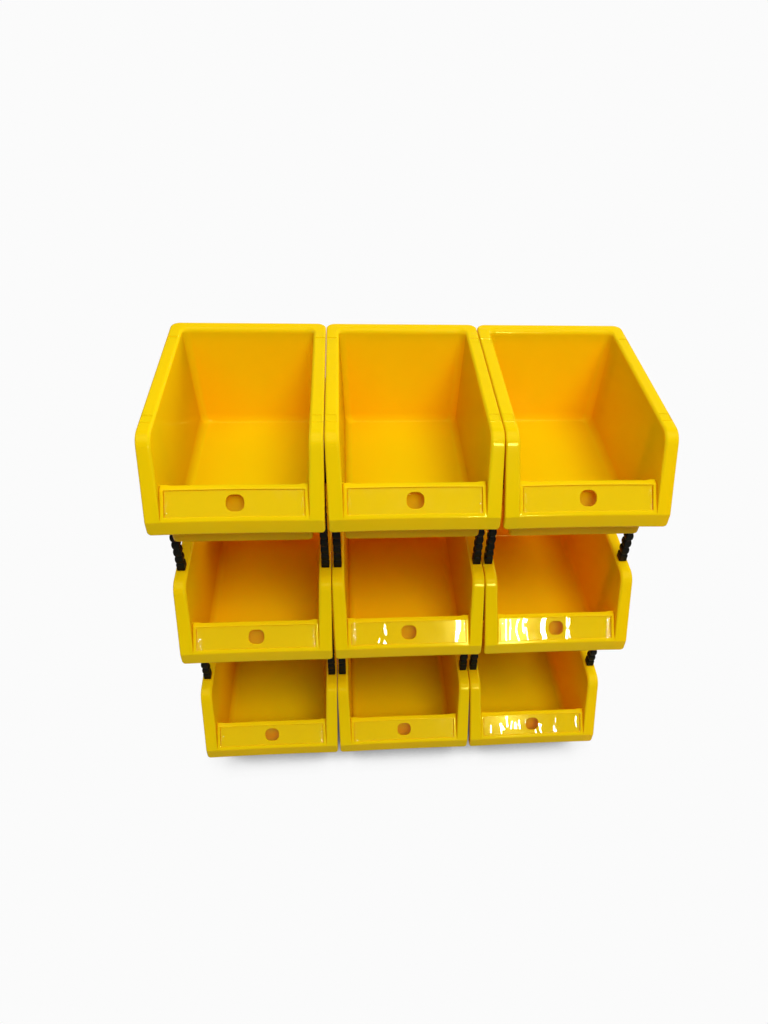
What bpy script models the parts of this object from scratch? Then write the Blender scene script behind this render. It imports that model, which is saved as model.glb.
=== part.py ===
"""A rack of hopper-front parts bins: three columns of three bins, each upper bin carried on four ribbed
posts that stand on the side flanges of the bin below.

Metres, +Z up, fronts towards -Y. The origin is on the floor under the middle of the rack. One bin is
modelled in its own frame, with x = 0 on its centre line, y = 0 where the planes of the flat rim and the
sloping rim meet, and z = 0 on top of the rim. Every bin shares that mesh.
"""

import math

import bmesh
import bpy
from mathutils import Matrix, Vector

# Rack
COLUMNS = ("left", "center", "right")
TIERS = ("bottom", "middle", "top")
COLUMN_PITCH = 0.1204
TIER_PITCH = 0.1350

# Bin
BIN_WIDTH = 0.1200
BIN_HEIGHT = 0.0850
RIM_BACK = 0.1570
RIM_FRONT = 0.0260
RIM_WIDTH = 0.0097
RIM_THICKNESS = 0.0022
RIM_CORNER_RADIUS = 0.0070
FRONT_TAPER = 0.0013
SLOPE = math.radians(62.5)
BEND_RADIUS = 0.0130
BEND_STEPS = 6
SKIRT_DEPTH = 0.0060
SKIRT_THICKNESS = 0.0012
BAND_BOTTOM = -0.0613
WALL = 0.0018
WALL_DRAFT = 0.0033
FLOOR_THICKNESS = 0.0024
FLOOR_FILLET = 0.0080
FLOOR_FILLET_STEPS = 3
CORNER_RADIUS = 0.0060
CORNER_STEPS = 3

# Front wall and label holder
FRONT_WALL_FOOT = -0.0073
FRONT_WALL_HEAD = -0.0095
LIP_BACK = (-0.0075, -0.0328)
LIP_FRONT = (-0.0117, -0.0335)
LABEL_SLOPE = math.radians(48.6)
LABEL_THICKNESS = 0.0026
LABEL_HALF_WIDTH = 0.0462
LABEL_RECESS = 0.0012
LABEL_TOP = 0.0008
LABEL_BOTTOM = 0.0188
HOLE_CENTRE = 0.0097
HOLE_WIDTH = 0.0120
HOLE_HEIGHT = 0.0112
HOLE_RADIUS = 0.0036

# Cover and posts
COVER_THICKNESS = 0.0006
GAP = 0.0003
POST_X = 0.0554
POST_HALF_WIDTH = 0.0031
POST_CORE_HALF_WIDTH = 0.0024
POST_DEPTH = 0.0078
POST_RIBS = 18
FRONT_POST_Y = 0.0163
BACK_POST_Y = 0.1246
PAD_DEPTH = 0.0003
GROOVE_DEPTH = 0.0009
GROOVE_WIDTH = 0.0013
WEB_THICKNESS = 0.0012
WEB_DEPTH = 0.0050

RACK_Y = -(RIM_BACK - RIM_FRONT) / 2
HALF_WIDTH = BIN_WIDTH / 2
INNER_HALF_WIDTH = HALF_WIDTH - RIM_WIDTH
INNER_BACK = RIM_BACK - RIM_WIDTH
REACH = 0.0100  # how far a cutter stands clear of what it cuts
STEP = 0.0002  # a small step where two faces would otherwise lie in one plane


def clear_scene():
    for item in list(bpy.data.objects):
        bpy.data.objects.remove(item, do_unlink=True)


def material(name, colour, roughness, alpha=1.0):
    made = bpy.data.materials.new(name)
    made.use_nodes = True
    shader = made.node_tree.nodes["Principled BSDF"]
    shader.inputs["Base Color"].default_value = (*colour, 1.0)
    shader.inputs["Roughness"].default_value = roughness
    shader.inputs["Metallic"].default_value = 0.0
    shader.inputs["Alpha"].default_value = alpha
    made.diffuse_color = (*colour, alpha)
    return made


def mesh_object(name, build):
    """An object whose mesh is filled by build(bm), with its faces turned outwards."""
    bm = bmesh.new()
    build(bm)
    bmesh.ops.recalc_face_normals(bm, faces=bm.faces)
    mesh = bpy.data.meshes.new(name)
    bm.to_mesh(mesh)
    bm.free()
    made = bpy.data.objects.new(name, mesh)
    bpy.context.scene.collection.objects.link(made)
    return made


def stack(name, loops):
    """A closed solid through loops that all have the same number of points."""

    def build(bm):
        rings = [[bm.verts.new(point) for point in loop] for loop in loops]
        count = len(rings[0])
        for low, high in zip(rings, rings[1:]):
            for i in range(count):
                j = (i + 1) % count
                bm.faces.new((low[i], low[j], high[j], high[i]))
        bm.faces.new(rings[0])
        bm.faces.new(rings[-1])

    return mesh_object(name, build)


def side_prism(name, outline, half_width, x=0.0):
    """The (y, z) outline carried across the bin from x - half_width to x + half_width."""
    ends = (x - half_width, x + half_width)
    return stack(name, [[(end, y, z) for y, z in outline] for end in ends])


def plan_prism(name, outline, low, high):
    return stack(name, [[(x, y, z) for x, y in outline] for z in (low, high)])


def box(name, x, y, z):
    return plan_prism(name, [(x[0], y[0]), (x[1], y[0]), (x[1], y[1]), (x[0], y[1])], *z)


def arc(centre, radius, start, turn, steps):
    angles = [start + turn * i / steps for i in range(steps + 1)]
    return [(centre[0] + radius * math.cos(a), centre[1] + radius * math.sin(a)) for a in angles]


def rounded_rectangle(half_x, y_front, y_back, radius, steps=CORNER_STEPS):
    quarter = math.pi / 2
    points = []
    for sx, y, start in ((1, y_back, 0), (-1, y_back, 1), (-1, y_front, 2), (1, y_front, 3)):
        centre = (sx * (half_x - radius), y - radius if y == y_back else y + radius)
        points += arc(centre, radius, start * quarter, quarter, steps)
    return points


def rim_path(depth):
    """The rim's side outline at this depth under its surface, from the back to the foot of the slope."""
    centre = (BEND_RADIUS * math.tan(SLOPE / 2), -BEND_RADIUS)
    bend = arc(centre, BEND_RADIUS - depth, math.pi / 2, SLOPE, BEND_STEPS)
    y = -RIM_FRONT + depth
    z = (y * math.sin(SLOPE) - depth) / math.cos(SLOPE)
    return [(RIM_BACK + REACH, -depth), *bend, (y, z)]


def under_rim(name, depth, low, half_width=HALF_WIDTH + REACH):
    """All that lies deeper than depth under the rim's surface, down to low."""
    outline = [*rim_path(depth), (-RIM_FRONT + depth, low), (RIM_BACK + REACH, low)]
    return side_prism(name, outline, half_width)


def plan_outline(inset):
    """The rim seen from above, inset from its edge: rounded at the back, tapered towards the front."""
    half = HALF_WIDTH - inset
    front = half - FRONT_TAPER
    back = RIM_BACK - inset
    radius = RIM_CORNER_RADIUS - inset
    y_front = -RIM_FRONT - REACH
    points = [(-front, y_front), (front, y_front), (half, 0.0)]
    points += arc((half - radius, back - radius), radius, 0, math.pi / 2, 4)
    points += arc((radius - half, back - radius), radius, math.pi / 2, math.pi / 2, 4)
    return [*points, (-half, 0.0)]


def label_point(along, out):
    """A point of the label panel: along it from the lip, and out from its face."""
    c, s = math.cos(LABEL_SLOPE), math.sin(LABEL_SLOPE)
    return (LIP_FRONT[0] - along * c - out * s, LIP_FRONT[1] - along * s + out * c)


def apply_boolean(target, operation, other):
    """Combines other into target for good, and removes it."""
    modifier = target.modifiers.new(operation, "BOOLEAN")
    modifier.operation = operation
    modifier.solver = "EXACT"
    modifier.object = other
    bpy.context.view_layer.update()
    graph = bpy.context.evaluated_depsgraph_get()
    result = bpy.data.meshes.new_from_object(target.evaluated_get(graph))
    target.modifiers.clear()
    target.data = result
    bpy.data.objects.remove(other, do_unlink=True)


def rim_shell():
    """The flange with its turned-down skirts, and the band across the front."""
    rim = plan_prism("rim", plan_outline(0.0), BAND_BOTTOM, REACH)
    apply_boolean(rim, "INTERSECT", under_rim("rim_region", 0.0, BAND_BOTTOM - REACH))
    hollow = plan_prism("hollow", plan_outline(SKIRT_THICKNESS), BAND_BOTTOM - REACH, REACH)
    apply_boolean(hollow, "INTERSECT", under_rim("hollow_region", RIM_THICKNESS, BAND_BOTTOM - 2 * REACH))
    apply_boolean(rim, "DIFFERENCE", hollow)
    below_skirts = under_rim("below_skirts", SKIRT_DEPTH, BAND_BOTTOM - REACH)
    apply_boolean(rim, "DIFFERENCE", below_skirts)
    return rim


def wall_half_width(z, thickness):
    """Half the bin's width at height z: the walls lean in towards the floor."""
    return INNER_HALF_WIDTH + thickness - WALL_DRAFT * -z / BIN_HEIGHT


def front_wall_y(z):
    low, high = -BIN_HEIGHT, LIP_FRONT[1]
    return FRONT_WALL_FOOT + (FRONT_WALL_HEAD - FRONT_WALL_FOOT) * (z - low) / (high - low)


def body_loop(z, thickness, inset=0.0):
    radius = CORNER_RADIUS + thickness
    half = wall_half_width(z, thickness) - inset
    y_back = INNER_BACK + thickness - WALL_DRAFT * -z / BIN_HEIGHT - inset / 3
    y_front = front_wall_y(z) + WALL - thickness + inset / 3
    return [(x, y, z) for x, y in rounded_rectangle(half, y_front, y_back, radius)]


def body():
    """The outer faces of the walls, with the cheeks that carry the sloping rim."""
    walls = stack("walls", [body_loop(z, WALL) for z in (-BIN_HEIGHT, LIP_FRONT[1], -RIM_THICKNESS / 2)])
    half = wall_half_width(0.0, WALL) - 0.0001
    y = (-RIM_FRONT + RIM_THICKNESS / 2, 0.0100)
    cheeks = box("cheeks", (-half, half), y, (BAND_BOTTOM, -RIM_THICKNESS))
    apply_boolean(walls, "UNION", cheeks)
    apply_boolean(walls, "INTERSECT", under_rim("body_region", RIM_THICKNESS / 2, -BIN_HEIGHT - REACH))
    return walls


def cavity():
    """The space inside the walls, with a fillet along the foot of each side."""
    floor = -BIN_HEIGHT + FLOOR_THICKNESS
    loops = []
    for i in range(FLOOR_FILLET_STEPS + 1):
        angle = math.pi / 2 * i / FLOOR_FILLET_STEPS
        z = floor + FLOOR_FILLET * (1 - math.cos(angle))
        loops.append(body_loop(z, 0.0, FLOOR_FILLET * (1 - math.sin(angle)) * 0.7))
    loops.append(body_loop(REACH, 0.0))
    return stack("cavity", loops)


def mouth():
    """The opening over the lip and in front of the label panel, between the cheeks."""
    inner = wall_half_width(LIP_BACK[1], 0.0) + STEP
    front = label_point(0.0400, 0.0)
    outline = [(0.0050, LIP_BACK[1]), LIP_BACK, LIP_FRONT, front, (front[0], REACH), (0.0050, REACH)]
    return side_prism("mouth", outline, inner)


def pocket():
    """The hollow behind the label panel and the band, open at the bottom."""
    y_band = -RIM_FRONT + RIM_THICKNESS
    top = label_point(0.0, -LABEL_THICKNESS)
    fall = (top[0] - y_band) * math.tan(LABEL_SLOPE)
    low = BAND_BOTTOM - REACH
    outline = [
        (front_wall_y(top[1]) - STEP, top[1] - 2 * STEP),
        (top[0], top[1] - 2 * STEP),
        (y_band, top[1] - fall),
        (y_band, low),
        (front_wall_y(low) - STEP, low),
    ]
    return side_prism("pocket", outline, wall_half_width(0.0, 0.0) - STEP)


def label_slab(name, half_width, along, out):
    corners = [label_point(a, o) for a, o in ((along[0], out[0]), (along[1], out[0]))]
    corners += [label_point(a, o) for a, o in ((along[1], out[1]), (along[0], out[1]))]
    return side_prism(name, corners, half_width)


def label_hole(name, margin=0.0):
    """A rounded-square plug square to the label panel."""
    half_x = HOLE_WIDTH / 2 + margin
    half_y = HOLE_HEIGHT / 2 + margin
    outline = rounded_rectangle(half_x, -half_y, half_y, HOLE_RADIUS)

    def ring(out):
        return [(x, *label_point(HOLE_CENTRE - y, out)) for x, y in outline]

    return stack(name, [ring(-0.0060), ring(0.0060)])


def post_seats(bin_shell):
    """Cuts a shallow pad and a groove in the flange for each post's foot."""
    for side in (-1, 1):
        x = sorted((side * (POST_X - POST_HALF_WIDTH - GAP), side * (POST_X + POST_HALF_WIDTH + GAP)))
        for y, groove in ((FRONT_POST_Y, FRONT_POST_Y - GROOVE_WIDTH), (BACK_POST_Y, BACK_POST_Y + POST_DEPTH)):
            pad = box("pad", x, (y - GAP, y + POST_DEPTH + GAP), (-PAD_DEPTH, REACH))
            apply_boolean(bin_shell, "DIFFERENCE", pad)
            cut = box("groove", x, (groove, groove + GROOVE_WIDTH), (-GROOVE_DEPTH, REACH))
            apply_boolean(bin_shell, "DIFFERENCE", cut)


def post_sockets(bin_shell):
    """Adds webs under the flange, in front of and behind the head of each post."""
    for side in (-1, 1):
        inner = wall_half_width(-SKIRT_DEPTH, WALL) - WALL / 2
        x = sorted((side * inner, side * (HALF_WIDTH - SKIRT_THICKNESS / 2)))
        for post_y in (FRONT_POST_Y, BACK_POST_Y):
            for y in (post_y - GAP - WEB_THICKNESS, post_y + POST_DEPTH + GAP):
                web = box("web", x, (y, y + WEB_THICKNESS), (-WEB_DEPTH, -RIM_THICKNESS / 2))
                apply_boolean(bin_shell, "UNION", web)


def bin_mesh():
    """The whole bin shell as one mesh in the bin's own frame."""
    shell = rim_shell()
    apply_boolean(shell, "UNION", body())
    apply_boolean(shell, "DIFFERENCE", cavity())
    apply_boolean(shell, "DIFFERENCE", mouth())
    apply_boolean(shell, "DIFFERENCE", pocket())
    recess = label_slab("recess", LABEL_HALF_WIDTH, (LABEL_TOP, LABEL_BOTTOM), (-LABEL_RECESS, REACH))
    apply_boolean(shell, "DIFFERENCE", recess)
    apply_boolean(shell, "DIFFERENCE", label_hole("hole"))
    post_sockets(shell)
    post_seats(shell)
    return finished_mesh(shell)


def cover_mesh():
    """The clear strip that lies in the label recess."""
    half = LABEL_HALF_WIDTH - GAP
    low = -LABEL_RECESS + GAP
    strip = label_slab("strip", half, (LABEL_TOP + GAP, LABEL_BOTTOM - GAP), (low, low + COVER_THICKNESS))
    apply_boolean(strip, "DIFFERENCE", label_hole("cover_hole", GAP))
    return finished_mesh(strip)


def post_mesh():
    """One post, ribbed on both sides. Its foot is at z = 0, its front face at y = 0."""
    length = TIER_PITCH - RIM_THICKNESS - GAP
    pitch = length / POST_RIBS
    right = [(POST_HALF_WIDTH, 0.0)]
    for i in range(1, POST_RIBS):
        right.append((POST_CORE_HALF_WIDTH, (i - 0.35) * pitch))
        right.append((POST_HALF_WIDTH, i * pitch))
    right.append((POST_CORE_HALF_WIDTH, length - 0.4 * pitch))
    right.append((POST_CORE_HALF_WIDTH, length))
    outline = right + [(-x, z) for x, z in reversed(right)]
    post = stack("post", [[(x, y, z) for x, z in outline] for y in (0.0, POST_DEPTH)])
    return finished_mesh(post)


def finished_mesh(item):
    """Takes the mesh from a construction object and removes the object."""
    mesh = item.data
    bpy.data.objects.remove(item, do_unlink=True)
    mesh.shade_smooth()
    mesh.set_sharp_from_angle(angle=math.radians(30))
    return mesh


def place(name, mesh, location, parent=None):
    made = bpy.data.objects.new(name, mesh)
    made.location = location
    if parent:
        made.parent = parent
        made.matrix_parent_inverse = Matrix.Translation(-Vector(parent.location))
    bpy.context.scene.collection.objects.link(made)
    return made


def painted(mesh, look):
    mesh.materials.clear()
    mesh.materials.append(look)
    return mesh


def main():
    clear_scene()
    yellow = material("yellow_plastic", (0.87, 0.56, 0.005), 0.16)
    black = material("black_plastic", (0.012, 0.011, 0.012), 0.45)
    clear = material("clear_film", (0.95, 0.93, 0.80), 0.05, 0.25)
    shell = painted(bin_mesh(), yellow)
    cover = painted(cover_mesh(), clear)
    post = painted(post_mesh(), black)
    for column, column_name in enumerate(COLUMNS):
        x = (column - 1) * COLUMN_PITCH
        below = None
        for tier, tier_name in enumerate(TIERS):
            rim = BIN_HEIGHT + tier * TIER_PITCH
            where = f"{tier_name}_{column_name}"
            this_bin = place(f"bin_{where}", shell, (x, RACK_Y, rim), below)
            place(f"label_cover_{where}", cover, (x, RACK_Y, rim), this_bin)
            if below:
                add_posts(post, below, where, x, rim - TIER_PITCH)
            below = this_bin


def add_posts(mesh, below, where, x, rim):
    """The four posts that stand on the rim of the bin below and carry the bin named by where."""
    for side_name, side in (("left", -1), ("right", 1)):
        for end_name, y in (("front", FRONT_POST_Y), ("back", BACK_POST_Y)):
            location = (x + side * POST_X, RACK_Y + y, rim)
            place(f"post_{where}_{end_name}_{side_name}", mesh, location, below)


main()
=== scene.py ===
"""The look of the stacked storage bins: fine bin shells, wavy clear label covers and ribbed posts round
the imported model, with their materials, a pale floor, soft light and the camera.

The shapes are worked out in millimetres in one bin's own frame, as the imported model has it: x = 0 on the
bin's centre line, y = 0 where the planes of the flat rim and the sloping rim meet, z = 0 on the rim.
"""
import math

import bmesh
import bpy
from mathutils import Matrix, Vector


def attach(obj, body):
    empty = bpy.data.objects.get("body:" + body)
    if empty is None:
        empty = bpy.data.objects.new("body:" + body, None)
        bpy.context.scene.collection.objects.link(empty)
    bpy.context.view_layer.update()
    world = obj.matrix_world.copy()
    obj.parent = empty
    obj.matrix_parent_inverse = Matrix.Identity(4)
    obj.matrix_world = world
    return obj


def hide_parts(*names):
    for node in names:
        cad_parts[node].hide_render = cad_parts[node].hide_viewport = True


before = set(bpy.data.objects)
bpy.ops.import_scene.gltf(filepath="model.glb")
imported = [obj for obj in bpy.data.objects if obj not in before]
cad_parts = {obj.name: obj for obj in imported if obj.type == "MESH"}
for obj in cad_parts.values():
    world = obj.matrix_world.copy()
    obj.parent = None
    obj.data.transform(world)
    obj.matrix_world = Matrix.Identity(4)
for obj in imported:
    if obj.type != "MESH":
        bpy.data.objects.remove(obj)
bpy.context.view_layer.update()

MM = 0.001
COLUMNS = ("left", "center", "right")
TIERS = ("bottom", "middle", "top")
COLUMN_PITCH = 120.4
TIER_PITCH = 135.0
RACK_Y = -65.5

# Bin, in millimetres
BIN_HEIGHT = 85.0
HALF_WIDTH = 60.0
RIM_BACK = 157.0
RIM_FRONT = 26.0
RIM_THICKNESS = 2.2
RIM_CORNER = 7.0
RIM_ROUND = 1.4
FRONT_TAPER = 1.3 / 36.0
SLOPE = math.radians(62.5)
BEND_RADIUS = 13.0
FOOT_RADIUS = 2.2
SKIRT_DEPTH = 6.0
SKIRT_THICKNESS = 1.2
BAND_BOTTOM = -61.3
BAND_CORNER = 3.0
WALL = 1.8
DRAFT = 3.3 / 85.0
FLOOR_THICKNESS = 2.4
FLOOR_FILLET = 8.0
INNER_HALF = 50.3
INNER_BACK = 147.3
INNER_CORNER = 6.0
FRONT_WALL_FOOT = -7.3
FRONT_WALL_HEAD = -9.5
LIP = (-11.7, -33.5)
LIP_TOP = -32.8
LIP_BACK = -7.66
LABEL_SLOPE = math.radians(48.6)
LABEL_THICKNESS = 2.6
LABEL_HALF = 46.2
RECESS = (0.8, 18.8)
RECESS_DEPTH = 1.2
HOLE_AT = 9.7
HOLE_HALF = (6.0, 5.6)
HOLE_RADIUS = 4.6
FOOT_Z = -RIM_FRONT * math.tan(SLOPE)

# How much lower the front's ends hang than its middle, and how far apart the cuts are that let it bend
CROWN = 0.8
CROWN_CUTS = 7.45

# How far cutters reach into the walls past the inner faces, so that no two faces coincide
SKIM = 0.03

# The cover's cells along and across
COVER_CELLS = (184, 18)

# How strongly each cover waves, and its upright folds as (x, width, height)
USUAL_WAVES = 0.45
WAVES = {"bottom_right": 1.2, "middle_right": 0.8, "middle_center": 0.2, "top_right": 0.5}
FOLDS = {
    "bottom_right": ((-36.0, 2.6, 0.15), (-17.0, 2.2, 0.15), (10.0, 2.2, 0.16), (22.5, 1.6, 0.16)),
    "middle_right": ((-38.0, 2.4, 0.1), (-23.5, 1.7, 0.12), (12.0, 2.4, 0.14)),
    "middle_center": ((-25.0, 1.8, 0.21), (-20.5, 1.8, 0.2)),
    "top_right": ((-19.0, 1.2, 0.06), (21.0, 1.2, 0.06)),
}

# Posts, in millimetres
POST_X = 55.4
POST_HALF = 3.1
POST_DEPTH = 7.8
POST_LENGTH = 132.5
POST_RIBS = 18
RIB_DEPTH = 1.3
HEAD_INSET = 0.95
POST_YS = {"front": 16.3, "back": 124.6}
GAP = 0.3

# How bright the floor and the backdrop look to the camera
PALE = 0.965


def smooth(low, high, value):
    """Rises smoothly from 0 at low to 1 at high."""
    t = min(max((value - low) / (high - low), 0.0), 1.0)
    return t * t * (3 - 2 * t)


def arc(centre, radius, start, end, steps):
    angles = [start + (end - start) * i / steps for i in range(steps + 1)]
    return [(centre[0] + radius * math.cos(a), centre[1] + radius * math.sin(a)) for a in angles]


def mesh_object(name, rings, caps="plain"):
    """A closed solid through rings of as many points each. Its ends are single faces, or with caps
    "ladder" rows of four-sided faces between the two halves of a ring that mirrors itself."""
    bm = bmesh.new()
    made = [[bm.verts.new(point) for point in ring] for ring in rings]
    count = len(made[0])
    for low, high in zip(made, made[1:]):
        for i in range(count):
            j = (i + 1) % count
            bm.faces.new((low[i], low[j], high[j], high[i]))
    for ring in (made[0], made[-1]):
        if caps == "plain":
            bm.faces.new(ring)
            continue
        for i in range(count // 2 - 1):
            bm.faces.new((ring[i], ring[i + 1], ring[count - 2 - i], ring[count - 1 - i]))
    bmesh.ops.recalc_face_normals(bm, faces=bm.faces)
    mesh = bpy.data.meshes.new(name)
    bm.to_mesh(mesh)
    bm.free()
    item = bpy.data.objects.new(name, mesh)
    bpy.context.scene.collection.objects.link(item)
    return item


def side_prism(name, outline, half, x=0.0):
    return mesh_object(name, [[(end, y, z) for y, z in outline] for end in (x - half, x + half)])


def box(name, x, y, z):
    outline = [(y[0], z[0]), (y[1], z[0]), (y[1], z[1]), (y[0], z[1])]
    return side_prism(name, outline, (x[1] - x[0]) / 2, (x[0] + x[1]) / 2)


def evaluated_mesh(item):
    bpy.context.view_layer.update()
    graph = bpy.context.evaluated_depsgraph_get()
    return bpy.data.meshes.new_from_object(item.evaluated_get(graph))


def boolean(target, operation, other):
    """Joins other to target, cuts it out of it or keeps what they share, and removes other."""
    modifier = target.modifiers.new(operation, "BOOLEAN")
    modifier.operation = operation
    modifier.solver = "EXACT"
    modifier.object = other
    result = evaluated_mesh(target)
    target.modifiers.clear()
    target.data = result
    bpy.data.objects.remove(other, do_unlink=True)


def rounded_rectangle(half, front, back, radius, steps=8, front_radius=None):
    """An outline with rounded corners. The front two have their own radius if one is given."""
    quarter = math.pi / 2
    points = []
    for sx, y, turn in ((1, back, 0), (-1, back, 1), (-1, front, 2), (1, front, 3)):
        r = radius if y == back or front_radius is None else front_radius
        centre = (sx * (half - r), y - r if y == back else y + r)
        points += arc(centre, r, turn * quarter, (turn + 1) * quarter, steps)
    return points


# The rim is laid out flat and then follows the bin's side outline: back, bend, slope, foot bend and band.


def normal(angle):
    return (-math.sin(angle), math.cos(angle))


def rim_point(kind, value, depth):
    """(y, z) at this depth under the rim, at a station of its side outline."""
    if kind == "flat":
        return (value, -depth)
    if kind == "slope":
        n = normal(SLOPE)
        return (-value * math.cos(SLOPE) - depth * n[0], -value * math.sin(SLOPE) - depth * n[1])
    if kind == "band":
        return (-RIM_FRONT + depth, value)
    radius = BEND_RADIUS if kind == "bend" else FOOT_RADIUS
    left = max(radius - depth, 0.15)
    reach = depth + left
    n = normal(value)
    if kind == "bend":
        centre = (reach * math.tan(SLOPE / 2), -reach)
    else:
        centre = (reach - RIM_FRONT, FOOT_Z - reach * math.tan(math.pi / 4 - SLOPE / 2))
    return (centre[0] + left * n[0], centre[1] + left * n[1])


def path_stations():
    """Stations up the slope and back along the side, from the foot bend to the back corner."""
    found = [("foot", math.pi / 2 + (SLOPE - math.pi / 2) * i / 5) for i in range(6)]
    found += [("slope", q) for q in (53.6, 50.0, 46.0, 40.0, 34.0, 28.0, 22.0, 16.0, 11.0)]
    found += [("bend", SLOPE * (1 - i / 12)) for i in range(13)]
    found += [("flat", y) for y in (12.0, 24.0, 40.0, 60.0, 80.0, 100.0, 120.0, 136.0)]
    return found


def half_width(kind, value):
    y = rim_point(kind, value, 0.0)[0]
    return HALF_WIDTH - FRONT_TAPER * max(0.0, -y)


def plate_ring(inset, depth, low=None):
    """The rim's outline from above, inset from its edge, at a depth. With low it runs on down there."""
    points = []
    w = half_width("band", 0.0)
    if low is None:
        for i in range(7):
            a = math.pi / 2 * i / 6
            x = w - BAND_CORNER + (BAND_CORNER - inset) * math.sin(a)
            z = BAND_BOTTOM + BAND_CORNER - (BAND_CORNER - inset) * math.cos(a)
            points.append((x, *rim_point("band", z, depth)))
    else:
        points.append((w - inset, *rim_point("band", low, depth)))
    points.append((w - inset, *rim_point("band", -55.0, depth)))
    for kind, value in path_stations():
        points.append((half_width(kind, value) - inset, *rim_point(kind, value, depth)))
    for x, y in arc((HALF_WIDTH - RIM_CORNER, RIM_BACK - RIM_CORNER), RIM_CORNER - inset, 0, math.pi / 2, 10):
        points.append((x, *rim_point("flat", y, depth)))
    return points + [(-x, y, z) for x, y, z in reversed(points)]


def rim_shell():
    """The rim plate with its skirt, hollow underneath."""
    rings = [plate_ring(0.0, SKIRT_DEPTH)]
    for i in range(7):
        a = math.pi / 2 * i / 6
        rings.append(plate_ring(RIM_ROUND * (1 - math.cos(a)), RIM_ROUND * (1 - math.sin(a))))
    rim = mesh_object("rim", rings, "ladder")
    low = BAND_BOTTOM - 10
    hollow = [plate_ring(SKIRT_THICKNESS, depth, low) for depth in (RIM_THICKNESS, SKIRT_DEPTH + 2)]
    boolean(rim, "DIFFERENCE", mesh_object("hollow", hollow, "ladder"))
    return rim


def front_wall_y(z):
    return FRONT_WALL_FOOT + (FRONT_WALL_HEAD - FRONT_WALL_FOOT) * (z + BIN_HEIGHT) / (LIP[1] + BIN_HEIGHT)


def tub_ring(z, thickness, inset=(0.0, 0.0)):
    """A level outline this far outside the inner faces of the drafted walls, drawn in by inset."""
    lean = DRAFT * -z
    half = INNER_HALF + thickness - lean - inset[0]
    back = INNER_BACK + thickness - lean - inset[1]
    front = front_wall_y(z) + WALL - thickness + inset[1]
    radius = INNER_CORNER + thickness
    front_radius = 1.2 + thickness
    return [(x, y, z) for x, y in rounded_rectangle(half, front, back, radius, 8, front_radius)]


def tub():
    """The outside of the walls, and the block behind the sloping rim that the front is cut from."""
    edge = 2.2
    rings = []
    for i in range(6):
        a = math.pi / 2 * i / 5
        inset = edge * (1 - math.sin(a))
        rings.append(tub_ring(-BIN_HEIGHT + edge * (1 - math.cos(a)), WALL, (inset, inset)))
    rings += [tub_ring(z, WALL) for z in (LIP[1], -RIM_THICKNESS / 2)]
    walls = mesh_object("walls", rings)
    depth = RIM_THICKNESS / 2
    half = INNER_HALF + WALL - 0.1
    cheeks = box("cheeks", (-half, half), (-RIM_FRONT + depth, 10.0), (BAND_BOTTOM + 0.2, -depth - 0.3))
    boolean(walls, "UNION", cheeks)
    outline = [rim_point(kind, value, depth) for kind, value in path_stations()]
    outline = [(-RIM_FRONT + depth, -99.0), *outline, (170.0, -depth), (170.0, -99.0)]
    boolean(walls, "INTERSECT", side_prism("under", outline, 70.0))
    return walls


def cavity():
    """The inside of the bin, with a rounded edge round its floor."""
    rings = []
    for i in range(10):
        a = math.pi / 2 * i / 9
        away = FLOOR_FILLET * (1 - math.sin(a))
        z = -BIN_HEIGHT + FLOOR_THICKNESS + FLOOR_FILLET * (1 - math.cos(a))
        rings.append(tub_ring(z, SKIM, (away * 0.7, away * 0.25)))
    rings.append(tub_ring(12.0, SKIM))
    return mesh_object("cavity", rings)


def label_point(along, out):
    """(y, z) this far down the label panel from the lip, and this far out from its face."""
    c, s = math.cos(LABEL_SLOPE), math.sin(LABEL_SLOPE)
    return (LIP[0] - along * c - out * s, LIP[1] - along * s + out * c)


def fillet(corner, before, after, radius, steps):
    """Points and outward normals round a corner between two straight runs. before and after are the
    angles of the runs' normals."""
    turn = (after - before) / 2
    reach = radius / math.cos(turn)
    middle = (before + after) / 2
    n = normal(middle)
    centre = (corner[0] - reach * n[0], corner[1] - reach * n[1])
    found = []
    for i in range(steps + 1):
        n = normal(before + (after - before) * i / steps)
        found.append(((centre[0] + radius * n[0], centre[1] + radius * n[1]), n))
    return found


def mouth_half(z):
    return INNER_HALF + SKIM - DRAFT * min(max(-z, 0.0), -LIP[1])


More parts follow.
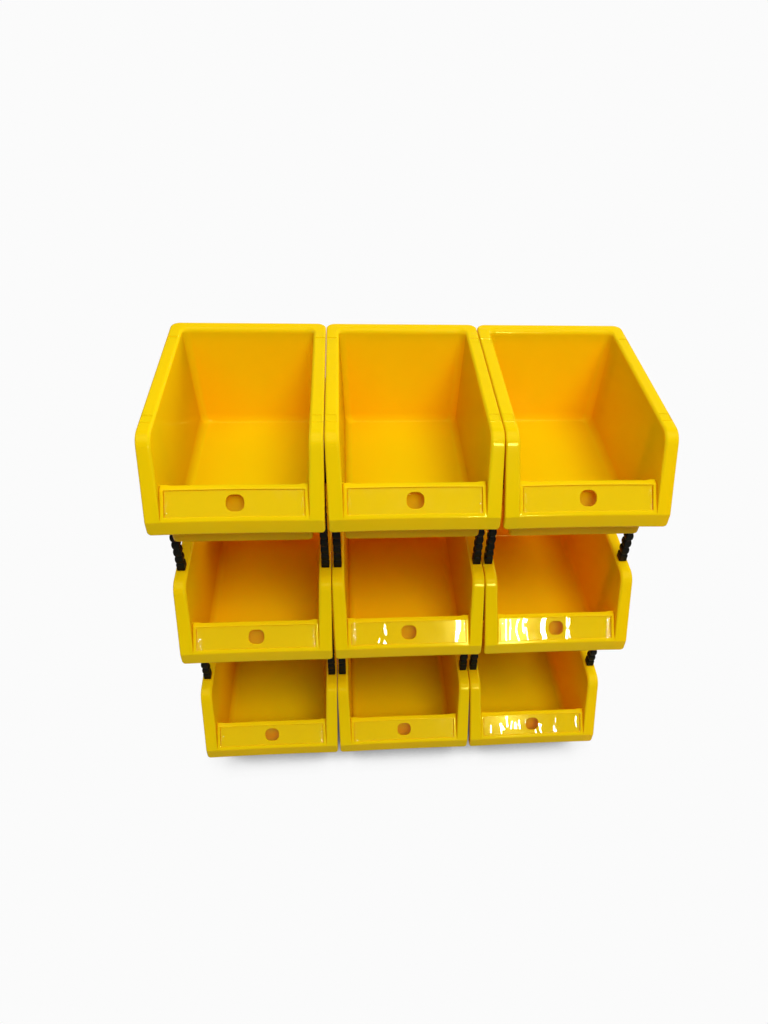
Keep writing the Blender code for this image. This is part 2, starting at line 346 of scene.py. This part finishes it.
def mouth():
    """What is open over the lip and in front of the label panel, between the cheeks. The panel's ends
    are rounded off, less and less towards its foot."""
    panel_end = 1.5
    distances = (0.0, 0.08, 0.25, 0.5, 0.8, 1.15, 1.5, 2.2, 3.2, 5.0, 7.0, 9.0, 14.0, 22.0, 34.0)
    width = mouth_half(LIP[1])
    shares = [1 - d / width for d in distances]
    shares = [-s for s in shares] + [0.0] + shares[::-1]
    flat = math.atan2(LIP_TOP - LIP[1], LIP_BACK - LIP[0])
    foot = (-RIM_FRONT - 0.04, label_point((RIM_FRONT + LIP[0]) / math.cos(LABEL_SLOPE), 0.0)[1])
    rings = []
    for share in shares:
        end = width * (1 - abs(share))
        back = 0.02 + 1.15 * smooth(3.5, 8.0, end)
        lip = fillet((LIP_BACK, LIP_TOP), -math.pi / 2, flat, back, 6)
        edge = fillet(LIP, flat, LABEL_SLOPE, 1.5, 5)
        low = fillet(foot, LABEL_SLOPE, math.pi / 2, 2.4, 6)
        steps = 6
        run = []
        for i in range(1, steps):
            t = i / steps
            a, b = edge[-1][0], low[0][0]
            run.append(((a[0] + (b[0] - a[0]) * t, a[1] + (b[1] - a[1]) * t), normal(LABEL_SLOPE)))
        drop = panel_end - math.sqrt(max(panel_end**2 - max(panel_end - end, 0.0) ** 2, 0.0))
        outline = []
        for (y, z), n in [*lip, *edge, *run, *low]:
            fade = drop * smooth(foot[1] + 0.5, foot[1] + 5.0, z)
            outline.append((y - n[0] * fade, z - n[1] * fade))
        tail = outline[-1][1]
        outline = [(6.0, outline[0][1]), *outline, (-40.0, tail), (-40.0, 12.0), (6.0, 12.0)]
        rings.append([(share * mouth_half(z), y, z) for y, z in outline])
    return mesh_object("mouth", rings)


def pocket():
    """The hollow behind the label panel and the band, open at the bottom."""
    back = -RIM_FRONT + RIM_THICKNESS
    top = label_point(0.0, -LABEL_THICKNESS)
    fall = (top[0] - back) * math.tan(LABEL_SLOPE)
    low = BAND_BOTTOM - 10
    outline = [
        (front_wall_y(top[1]) - 0.2, top[1] - 0.4),
        (top[0], top[1] - 0.4),
        (back, top[1] - fall),
        (back, low),
        (front_wall_y(low) - 0.2, low),
    ]
    return side_prism("pocket", outline, INNER_HALF - 0.2)


def fillet_radius(kind, value):
    """The rounding of the rim's inner edge, smaller towards the foot of the slope."""
    if kind != "slope":
        return 2.4
    return 2.4 - 1.1 * smooth(12.0, 48.0, value) - 0.9 * smooth(49.0, 55.0, value)


def rim_flare():
    """The rounding of the rim's inner edge, as a cutter that follows the edge from foot to foot."""

    def section(radius):
        across, down = radius - 0.12, radius - 0.02
        curve = arc((across, down), radius, -math.pi / 2, -math.pi, 9)
        return [(-1.5, -2.0), (across, -2.0), *curve, (-1.5, curve[-1][1])]

    rings = []
    stations = [("slope", q) for q in (55.2, 53.6, 51.5, 50.0, 48.0)]
    stations += [s for s in path_stations() if s[0] != "foot" and s not in stations]
    for kind, value in stations:
        edge = mouth_half(rim_point(kind, value, 0.0)[1]) - SKIM
        ring = section(fillet_radius(kind, value))
        rings.append([(edge + out, *rim_point(kind, value, depth)) for out, depth in ring])
    for i in range(13):
        a = math.pi / 2 * i / 12
        ring = section(2.4 + 1.6 * smooth(0.0, 1.0, i / 12))
        corner = (INNER_HALF - INNER_CORNER, INNER_BACK - INNER_CORNER)
        radii = [(INNER_CORNER + out, depth) for out, depth in ring]
        rings.append([(corner[0] + r * math.cos(a), corner[1] + r * math.sin(a), -d) for r, d in radii])
    rings += [[(-x, y, z) for x, y, z in ring] for ring in reversed(rings)]
    return mesh_object("flare", rings)


def panel_cutter(name, half, along, radius, floor, depth, soft):
    """A cutter square to the label panel whose edge is rounded by soft where it meets the face at floor."""
    middle = sum(along) / 2
    reach = (along[1] - along[0]) / 2
    levels = [(depth, 0.0)]
    for i in range(6):
        a = math.pi / 2 * i / 5
        levels.append((floor - soft * (1 - math.sin(a)) + 0.015, soft * (1 - math.cos(a))))
    levels.append((floor + 5.0, soft))
    rings = []
    for out, grow in levels:
        outline = rounded_rectangle(half + grow, -reach - grow, reach + grow, radius + grow)
        rings.append([(x, *label_point(middle - v, out)) for x, v in outline])
    return mesh_object(name, rings)


def end_slot(x):
    """The slot that an end of the cover tucks into."""
    low, high = RECESS[0] + 1.0, RECESS[1] - 1.0
    corners = ((low, -2.3), (high, -2.3), (high, 0.0), (low, 0.0))
    return side_prism("slot", [label_point(along, out) for along, out in corners], 0.3, x)


def label_hole(name, grow, floor, soft):
    along = (HOLE_AT - HOLE_HALF[1] - grow, HOLE_AT + HOLE_HALF[1] + grow)
    return panel_cutter(name, HOLE_HALF[0] + grow, along, HOLE_RADIUS + grow, floor, -8.0, soft)


def post_seats(shell):
    """The pads that the posts stand on, the notch lines beside them, and the webs round the posts' heads."""
    for side in (-1, 1):
        for name, y in POST_YS.items():
            x = sorted((side * (POST_X - POST_HALF - GAP), side * (POST_X + POST_HALF + GAP)))
            boolean(shell, "DIFFERENCE", box("pad", x, (y - GAP, y + POST_DEPTH + GAP), (-0.3, 5.0)))
            at = y - 1.35 if name == "front" else y + POST_DEPTH + 0.05
            profile = [(-0.25, 0.4), (0.0, -0.1), (0.12, -0.6), (0.4, -0.88), (0.9, -0.88)]
            profile += [(1.18, -0.6), (1.3, -0.1), (1.55, 0.4)]
            outline = [(at + a, b) for a, b in profile]
            boolean(shell, "DIFFERENCE", side_prism("notch", outline, 3.9, side * (POST_X + 0.35)))
            inner = INNER_HALF + WALL / 2 - DRAFT * SKIRT_DEPTH
            x = sorted((side * inner, side * (HALF_WIDTH - SKIRT_THICKNESS / 2)))
            for web_y in (y - GAP - 1.2, y + POST_DEPTH + GAP):
                boolean(shell, "UNION", box("web", x, (web_y, web_y + 1.2), (-5.0, -RIM_THICKNESS / 2)))


def crowned(mesh):
    """Lets the front's ends hang a little lower than its middle, down to the foot of the band."""
    for vertex in mesh.vertices:
        x, y, z = vertex.co
        share = (1 - smooth(-13.0, 2.0, y)) * smooth(-BIN_HEIGHT, BAND_BOTTOM, z)
        vertex.co.z -= CROWN * (x / HALF_WIDTH) ** 2 * share


def finished(item, name, sharp=math.radians(38)):
    """The object's mesh in metres, with smooth rounded edges and flat faces kept flat."""
    item.data.transform(Matrix.Scale(MM, 4))
    item.data.shade_smooth()
    item.data.set_sharp_from_angle(angle=sharp)
    weighted = item.modifiers.new("weighted", "WEIGHTED_NORMAL")
    weighted.keep_sharp = True
    weighted.weight = 80
    mesh = evaluated_mesh(item)
    mesh.name = name
    bpy.data.objects.remove(item, do_unlink=True)
    return mesh


def bin_mesh():
    """The whole bin shell, which is one moulding."""
    shell = rim_shell()
    boolean(shell, "UNION", tub())
    boolean(shell, "DIFFERENCE", cavity())
    boolean(shell, "DIFFERENCE", mouth())
    boolean(shell, "DIFFERENCE", pocket())
    boolean(shell, "DIFFERENCE", rim_flare())
    boolean(shell, "DIFFERENCE", panel_cutter("recess", LABEL_HALF, RECESS, 0.5, 0.0, -RECESS_DEPTH, 0.4))
    boolean(shell, "DIFFERENCE", label_hole("hole", 0.0, -RECESS_DEPTH, 0.5))
    for x in (-LABEL_HALF + 0.3, LABEL_HALF - 0.3):
        boolean(shell, "DIFFERENCE", end_slot(x))
    post_seats(shell)
    bm = bmesh.new()
    bm.from_mesh(shell.data)
    bmesh.ops.remove_doubles(bm, verts=bm.verts, dist=0.004)
    bmesh.ops.dissolve_degenerate(bm, edges=bm.edges, dist=0.002)
    # Upright cuts, so that the crown bends the wide faces smoothly
    for i in range(-6, 7):
        every = bm.verts[:] + bm.edges[:] + bm.faces[:]
        at = (i * CROWN_CUTS, 0, 0)
        bmesh.ops.bisect_plane(bm, geom=every, dist=0.001, plane_co=at, plane_no=(1, 0, 0))
    bm.to_mesh(shell.data)
    bm.free()
    crowned(shell.data)
    return finished(shell, "bin_shell")


def flat_cover():
    """The label cover before it ripples: a thin strip with a matching hole, cut into fine cells."""
    half = LABEL_HALF - GAP
    low, high = RECESS[0] + GAP, RECESS[1] - GAP
    long, wide = COVER_CELLS
    columns = [-half + 2 * half * i / long for i in range(long + 1)]
    rows = [low + (high - low) * i / wide for i in range(wide + 1)]
    bm = bmesh.new()
    grids = []
    for out in (-0.85, -0.45):
        grids.append([[bm.verts.new((x, *label_point(s, out))) for s in rows] for x in columns])
    for grid in grids:
        for a, b in zip(grid, grid[1:]):
            for j in range(len(rows) - 1):
                bm.faces.new((a[j], a[j + 1], b[j + 1], b[j]))
    rims = []
    for grid in grids:
        rims.append([c[0] for c in grid] + grid[-1][1:] + [c[-1] for c in grid[::-1]][1:] + grid[0][-2:0:-1])
    for i in range(len(rims[0])):
        j = (i + 1) % len(rims[0])
        bm.faces.new((rims[0][i], rims[0][j], rims[1][j], rims[1][i]))
    bmesh.ops.recalc_face_normals(bm, faces=bm.faces)
    mesh = bpy.data.meshes.new("cover")
    bm.to_mesh(mesh)
    bm.free()
    item = bpy.data.objects.new("cover", mesh)
    bpy.context.scene.collection.objects.link(item)
    boolean(item, "DIFFERENCE", label_hole("cover_hole", GAP, -3.0, 0.0001))
    return item


def rippled(flat, name, where, seed):
    """A copy of the flat cover with the soft waves, upright folds and raised ends of a bent strip of film,
    each bin's its own."""
    item = flat.copy()
    item.data = flat.data.copy()
    bpy.context.scene.collection.objects.link(item)
    strength = WAVES.get(where, USUAL_WAVES)
    end = LABEL_HALF - GAP - 1.3
    n = Vector((0.0, -math.sin(LABEL_SLOPE), math.cos(LABEL_SLOPE)))
    for vertex in item.data.vertices:
        x, y, z = vertex.co
        along = (LIP[0] - y) * math.cos(LABEL_SLOPE) + (LIP[1] - z) * math.sin(LABEL_SLOPE)
        rise = 0.085 * math.sin(x / 2.9 + seed * 1.7 + 0.5 * math.sin(along / 5.0 + seed))
        rise += 0.05 * math.sin(x / 1.55 + seed * 3.1 + 0.9 * math.sin(along / 4.1 + 2 * seed))
        rise += 0.06 * math.sin(along / 3.6 + 0.9 * math.sin(x / 9.0 + seed) + seed)
        rise *= strength
        for at, width, height in FOLDS.get(where, ()):
            away = x - at - 0.5 * math.sin(along / 3.4 + at)
            rise += height * math.exp(-((away / width) ** 2)) * (1 + 0.3 * math.sin(along / 2.1 + at))
        bead = math.exp(-(((abs(x) - end) / 1.0) ** 2))
        rise += 0.45 * bead * (1 + 0.4 * math.sin(along / 1.7 + seed + x))
        vertex.co += n * rise
    crowned(item.data)
    return finished(item, name, math.radians(50))


def post_mesh():
    """A post with rounded ribs on all sides and a plain square foot and head."""
    pitch = POST_LENGTH / POST_RIBS
    levels = [(0.0, 0.35), (0.35, 0.0), (0.8 * pitch, 0.0)]
    for i in range(1, POST_RIBS):
        for j in range(9):
            t = j / 9
            levels.append(((i + t - 0.05) * pitch, RIB_DEPTH * (1 - math.sin(math.pi * t) ** 0.45)))
    levels += [((POST_RIBS - 0.05) * pitch, HEAD_INSET), (POST_LENGTH, HEAD_INSET)]
    rings = []
    for z, inset in levels:
        outline = rounded_rectangle(POST_HALF - inset, inset * 0.6, POST_DEPTH - inset * 0.6, 0.7, 3)
        rings.append([(x, y, z) for x, y in outline])
    return finished(mesh_object("post", rings), "ribbed_post", math.radians(50))


# Materials


def new_material(name):
    made = bpy.data.materials.new(name)
    made.use_nodes = True
    return made, made.node_tree.nodes, made.node_tree.links


def noise(nodes, links, coordinates, scale, detail, stretch=(1.0, 1.0, 1.0)):
    mapping = nodes.new("ShaderNodeMapping")
    mapping.inputs["Scale"].default_value = stretch
    links.new(coordinates, mapping.inputs["Vector"])
    made = nodes.new("ShaderNodeTexNoise")
    made.inputs["Scale"].default_value = scale
    made.inputs["Detail"].default_value = detail
    links.new(mapping.outputs["Vector"], made.inputs["Vector"])
    return made.outputs["Fac"]


def ranged(nodes, links, value, source, target, kind="LINEAR"):
    """Maps the range source onto the range target, and holds its ends beyond it."""
    made = nodes.new("ShaderNodeMapRange")
    made.interpolation_type = kind
    for name, number in zip(("From Min", "From Max", "To Min", "To Max"), (*source, *target)):
        made.inputs[name].default_value = number
    links.new(value, made.inputs["Value"])
    return made.outputs["Result"]


def spread(nodes, links, value, low, high):
    """Spreads a noise, which is mostly between 0.3 and 0.7, from low to high."""
    return ranged(nodes, links, value, (0.3, 0.7), (low, high))


def open_air(nodes, distance, samples):
    """How open the surface is to the space within a distance, from 0 to 1."""
    made = nodes.new("ShaderNodeAmbientOcclusion")
    made.samples = samples
    made.inputs["Distance"].default_value = distance
    return made.outputs["AO"]


def maths(nodes, links, operation, *values):
    """A Math node on values that are each a number or a socket."""
    made = nodes.new("ShaderNodeMath")
    made.operation = operation
    for entry, value in zip(made.inputs, values):
        if isinstance(value, float):
            entry.default_value = value
        else:
            links.new(value, entry)
    return made.outputs["Value"]


def colour_mix(nodes, links, factor, low, high):
    """Goes from low to high, each a colour or a socket, as the factor goes from 0 to 1."""
    made = nodes.new("ShaderNodeMix")
    made.data_type = "RGBA"
    links.new(factor, made.inputs["Factor"])
    for name, colour in (("A", low), ("B", high)):
        if isinstance(colour, tuple):
            made.inputs[name].default_value = (*colour, 1.0)
        else:
            links.new(colour, made.inputs[name])
    return made.outputs["Result"]


def colour_between(nodes, links, value, low, high):
    return colour_mix(nodes, links, spread(nodes, links, value, 0.0, 1.0), low, high)


def mixed_shader(nodes, links, factor, first, second):
    """The material's surface: first where the factor, a number or a socket, is 0, second where it is 1."""
    made = nodes.new("ShaderNodeMixShader")
    if isinstance(factor, float):
        made.inputs["Fac"].default_value = factor
    else:
        links.new(factor, made.inputs["Fac"])
    links.new(first, made.inputs[1])
    links.new(second, made.inputs[2])
    links.new(made.outputs["Shader"], nodes["Material Output"].inputs["Surface"])


def bumps(nodes, links, shader, heights):
    """Chains bump nodes, one for each (height, strength, distance)."""
    last = None
    for height, strength, distance in heights:
        made = nodes.new("ShaderNodeBump")
        made.inputs["Strength"].default_value = strength
        made.inputs["Distance"].default_value = distance
        links.new(height, made.inputs["Height"])
        if last:
            links.new(last, made.inputs["Normal"])
        last = made.outputs["Normal"]
    links.new(last, shader.inputs["Normal"])


def yellow_plastic():
    """Glossy plastic with faint flow streaks and painted shade: a deeper orange painted where little light
    gets in, standing in for light bouncing between the yellow walls. Its walls let some light through."""
    made, nodes, links = new_material("gloss_yellow_plastic")
    shader = nodes["Principled BSDF"]
    at = nodes.new("ShaderNodeTexCoord").outputs["Object"]
    flow = noise(nodes, links, at, 14.0, 3.0, (2.2, 1.0, 0.7))
    streaks = colour_between(nodes, links, flow, (0.83, 0.68, 0.002), (0.85, 0.71, 0.003))
    # Painted shade: the base colour turns a deeper orange where the ambient occlusion finds little open space
    lit = ranged(nodes, links, open_air(nodes, 0.25, 4), (0.12, 0.27), (0.0, 1.0))
    links.new(colour_mix(nodes, links, lit, (1.0, 0.5, 0.001), streaks), shader.inputs["Base Color"])
    wear = noise(nodes, links, at, 90.0, 4.0)
    links.new(spread(nodes, links, wear, 0.085, 0.15), shader.inputs["Roughness"])
    shader.inputs["Specular IOR Level"].default_value = 0.4
    shader.inputs["Specular Tint"].default_value = (1.0, 0.85, 0.16, 1.0)
    sink = noise(nodes, links, at, 26.0, 1.0)
    grain = noise(nodes, links, at, 900.0, 2.0)
    bumps(nodes, links, shader, [(sink, 0.25, 0.0009), (grain, 0.06, 0.0002)])
    glow = nodes.new("ShaderNodeBsdfTranslucent")
    glow.inputs["Color"].default_value = (0.96, 0.46, 0.001, 1.0)
    mixed_shader(nodes, links, 0.34, shader.outputs["BSDF"], glow.outputs["BSDF"])
    return made


def black_plastic():
    """Satin plastic with a fine grain and a little dust."""
    made, nodes, links = new_material("satin_black_plastic")
    shader = nodes["Principled BSDF"]
    shader.inputs["Specular IOR Level"].default_value = 0.12
    at = nodes.new("ShaderNodeTexCoord").outputs["Object"]
    dust = noise(nodes, links, at, 160.0, 4.0)
    dusty = colour_between(nodes, links, dust, (0.003, 0.003, 0.002), (0.009, 0.009, 0.005))
    links.new(dusty, shader.inputs["Base Color"])
    links.new(spread(nodes, links, dust, 0.33, 0.5), shader.inputs["Roughness"])
    grain = noise(nodes, links, at, 1500.0, 2.0)
    bumps(nodes, links, shader, [(grain, 0.15, 0.0002)])
    return made


def clear_film():
    """Film that lets nearly all light through and mirrors a few percent of it, more at a slant. Both of
    its sides follow one rule, so that neither turns into a full mirror."""
    made, nodes, links = new_material("clear_film")
    nodes.remove(nodes["Principled BSDF"])
    gloss = nodes.new("ShaderNodeBsdfGlossy")
    see_through = nodes.new("ShaderNodeBsdfTransparent")
    see_through.inputs["Color"].default_value = (0.99, 0.99, 0.97, 1.0)
    slant = nodes.new("ShaderNodeLayerWeight")
    slant.inputs["Blend"].default_value = 0.5
    steep = maths(nodes, links, "POWER", slant.outputs["Facing"], 5.0)
    mirrored = maths(nodes, links, "MULTIPLY_ADD", steep, 0.5, 0.034)
    mixed_shader(nodes, links, mirrored, see_through.outputs["BSDF"], gloss.outputs["BSDF"])
    at = nodes.new("ShaderNodeTexCoord").outputs["Object"]
    haze = noise(nodes, links, at, 120.0, 3.0)
    links.new(spread(nodes, links, haze, 0.02, 0.05), gloss.inputs["Roughness"])
    return made


# Placing


def add_piece(name, mesh, look, at, body, node):
    mesh.materials.clear()
    mesh.materials.append(look)
    piece = bpy.data.objects.new(name, mesh)
    piece.location = [c * MM for c in at]
    bpy.context.scene.collection.objects.link(piece)
    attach(piece, body)
    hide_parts(node)
    return piece


def build_rack():
    """Nine bins with their label covers, and four posts under each bin of the upper two tiers."""
    yellow, black, clear = yellow_plastic(), black_plastic(), clear_film()
    shell, cover, post = bin_mesh(), flat_cover(), post_mesh()
    for column, column_name in enumerate(COLUMNS):
        x = (column - 1) * COLUMN_PITCH
        for tier, tier_name in enumerate(TIERS):
            rim = BIN_HEIGHT + tier * TIER_PITCH
            where = f"{tier_name}_{column_name}"
            at = (x, RACK_Y, rim)
            add_piece(f"shell_{where}", shell.copy(), yellow, at, where, f"bin_{where}")
            film = rippled(cover, f"film_{where}", where, 3 * tier + column + 1.0)
            node = f"label_cover_{where}"
            strip = add_piece(f"film_{where}", film, clear, at, f"cover_{where}", node)
            strip.visible_shadow = False
            if tier == 0:
                continue
            for side_name, side in (("left", -1), ("right", 1)):
                for end_name, y in POST_YS.items():
                    at = (x + side * POST_X, RACK_Y + y, rim - TIER_PITCH)
                    tail = f"{where}_{end_name}_{side_name}"
                    name, node = f"ribbed_post_{tail}", f"post_{tail}"
                    add_piece(name, post.copy(), black, at, f"posts_{where}", node)
    bpy.data.objects.remove(cover, do_unlink=True)


def floor_material():
    """Pale paper that shows evenly lit, with a grey shade only close under the bins."""
    made, nodes, links = new_material("pale_floor")
    nodes.remove(nodes["Principled BSDF"])
    paper = nodes.new("ShaderNodeBsdfDiffuse")
    paper.inputs["Color"].default_value = (0.28, 0.28, 0.28, 1.0)
    close = ranged(nodes, links, open_air(nodes, 0.03, 16), (0.35, 0.88), (0.5, PALE))
    under = ranged(nodes, links, open_air(nodes, 0.12, 16), (0.1, 0.4), (0.12, 1.0))
    lit = nodes.new("ShaderNodeEmission")
    links.new(maths(nodes, links, "MULTIPLY", close, under), lit.inputs["Strength"])
    to_camera = nodes.new("ShaderNodeLightPath").outputs["Is Camera Ray"]
    mixed_shader(nodes, links, to_camera, paper.outputs["BSDF"], lit.outputs["Emission"])
    return made


def add_floor():
    bm = bmesh.new()
    bmesh.ops.create_grid(bm, x_segments=8, y_segments=8, size=14.0)
    mesh = bpy.data.meshes.new("floor")
    bm.to_mesh(mesh)
    bm.free()
    mesh.materials.append(floor_material())
    floor = bpy.data.objects.new("floor", mesh)
    bpy.context.scene.collection.objects.link(floor)


def add_area(name, at, towards, size, power):
    light = bpy.data.lights.new(name, "AREA")
    light.shape = "RECTANGLE"
    light.size, light.size_y = size
    light.energy = power
    item = bpy.data.objects.new(name, light)
    item.location = at
    item.rotation_euler = (Vector(towards) - Vector(at)).to_track_quat("-Z", "Y").to_euler()
    bpy.context.scene.collection.objects.link(item)
    return item


def add_sky():
    """Soft light from overhead and weaker light from both sides, in a world that is pale to the camera."""
    world = bpy.data.worlds.new("studio")
    world.use_nodes = True
    nodes, links = world.node_tree.nodes, world.node_tree.links
    at = nodes.new("ShaderNodeTexCoord").outputs["Generated"]
    upward = nodes.new("ShaderNodeVectorMath")
    upward.operation = "DOT_PRODUCT"
    upward.inputs[1].default_value = Vector((0.05, -0.18, 0.98)).normalized()
    links.new(at, upward.inputs[0])
    overhead = ranged(nodes, links, upward.outputs["Value"], (0.80, 0.97), (0.06, 2.3), "SMOOTHSTEP")
    parts = nodes.new("ShaderNodeSeparateXYZ")
    links.new(at, parts.inputs["Vector"])
    sideways = maths(nodes, links, "ABSOLUTE", parts.outputs["X"])
    sides = ranged(nodes, links, sideways, (0.5, 0.85), (0.0, 0.6), "SMOOTHSTEP")
    seen = nodes.new("ShaderNodeMix")
    to_camera = nodes.new("ShaderNodeLightPath").outputs["Is Camera Ray"]
    links.new(to_camera, seen.inputs["Factor"])
    links.new(maths(nodes, links, "ADD", overhead, sides), seen.inputs["A"])
    seen.inputs["B"].default_value = PALE
    links.new(seen.outputs["Result"], nodes["Background"].inputs["Strength"])
    nodes["Background"].inputs["Color"].default_value = (1.0, 1.0, 1.0, 1.0)
    bpy.context.scene.world = world


def add_lamps():
    """A window that shows only in reflections, and soft lights in front and behind that show in none."""
    window = add_area("window", (0.6, -2.52, 1.68), (0.06, 0.0, 0.2), (0.1, 0.62), 27.0)
    window.visible_diffuse = False
    fill = add_area("fill", (0.55, -1.72, 2.6), (0.0, 0.0, 0.2), (1.4, 1.0), 64.0)
    back = add_area("back", (0.8, 1.7, 0.9), (0.0, 0.0, 0.15), (2.2, 1.0), 50.0)
    for lamp in (fill, back):
        lamp.visible_glossy = False


def add_camera():
    data = bpy.data.cameras.new("camera")
    data.sensor_width = 36.0
    data.lens = 26.856
    data.shift_x = -0.0410
    data.shift_y = 0.0597
    data.clip_start = 0.01
    camera = bpy.data.objects.new("camera", data)
    camera.location = (-0.042048, -0.487324, 0.639028)
    camera.rotation_euler = [math.radians(a) for a in (45.886, -2.775, -4.716)]
    bpy.context.scene.collection.objects.link(camera)
    bpy.context.scene.camera = camera
    bpy.context.scene.view_settings.view_transform = "Standard"


add_camera()
build_rack()
add_floor()
add_sky()
add_lamps()
